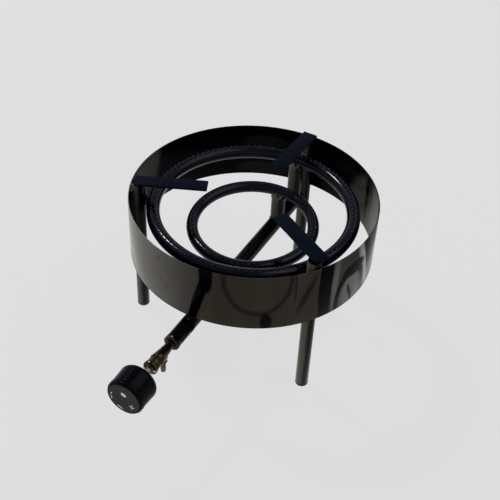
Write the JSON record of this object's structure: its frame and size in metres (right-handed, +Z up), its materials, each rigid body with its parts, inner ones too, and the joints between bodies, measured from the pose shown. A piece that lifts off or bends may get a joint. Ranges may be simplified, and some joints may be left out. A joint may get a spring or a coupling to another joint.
{
  "type": "stock pot range",
  "caption": "Free-standing gas ring burner for stock pots: two concentric burner rings in a round wind shield on tube legs, radial pot bars and a front tap with a push-and-turn knob.",
  "frame": {"origin": "centre of the footprint's bounding box, on the floor", "axes": "+Z up, -Y towards the tap and its knob, the burner's own axis is parallel to +Z at x 0, y 0.08800 m"},
  "size_m": [0.4, 0.576, 0.268],
  "materials": {
    "shield_enamel": "gloss black enamel",
    "burner_enamel": "gloss black enamel",
    "bar_paint": "satin blue-black heat-proof paint",
    "leg_enamel": "gloss black enamel",
    "foot_plastic": "matte black plastic",
    "brass": "turned and cast brass, slightly tarnished",
    "bright_steel": "bright zinc-plated steel",
    "knob_plastic": "satin black moulded plastic",
    "dial_print": "dark grey printed disc"
  },
  "bodies": {
    "stand": {"wind_shield": "shield_enamel", "shield_welds": "shield_enamel", "ring_welds": "burner_enamel", "outer_burner_ring": "burner_enamel", "inner_burner_ring": "burner_enamel", "outer_riser": "burner_enamel", "inner_riser": "burner_enamel", "mixer_pipe": "burner_enamel", "pipe_end_cap": "burner_enamel", "mouth_flange": "brass", "flange_screw": "bright_steel", "valve_body": "brass", "injector": "brass", "hose_nipple": "brass", "bonnet": "brass", "bonnet_screws": "bright_steel", "foot_caps": "foot_plastic", "leg_back": "leg_enamel", "pot_bar_back": "bar_paint", "leg_left": "leg_enamel", "pot_bar_left": "bar_paint", "leg_right": "leg_enamel", "pot_bar_right": "bar_paint"},
    "plug": {"taper_plug": "brass", "plug_spring": "bright_steel"},
    "knob": {"spindle": "bright_steel", "knob": "knob_plastic", "knob_dial": "dial_print", "knob_clip": "bright_steel"}
  },
  "joints": [
    {"name": "knob_turn", "type": "hinge", "parent": "stand", "child": "plug", "pos_m": [0, -0.207, 0.141], "axis": [0, -1, 0], "range_deg": [0, 210]},
    {"name": "knob_push", "type": "slide", "parent": "plug", "child": "knob", "axis": [0, 1, 0], "range_m": [0, 0.003], "stiffness_N_per_m": 800, "springref_m": -0.004, "deforming": ["plug_spring"]}
  ]
}
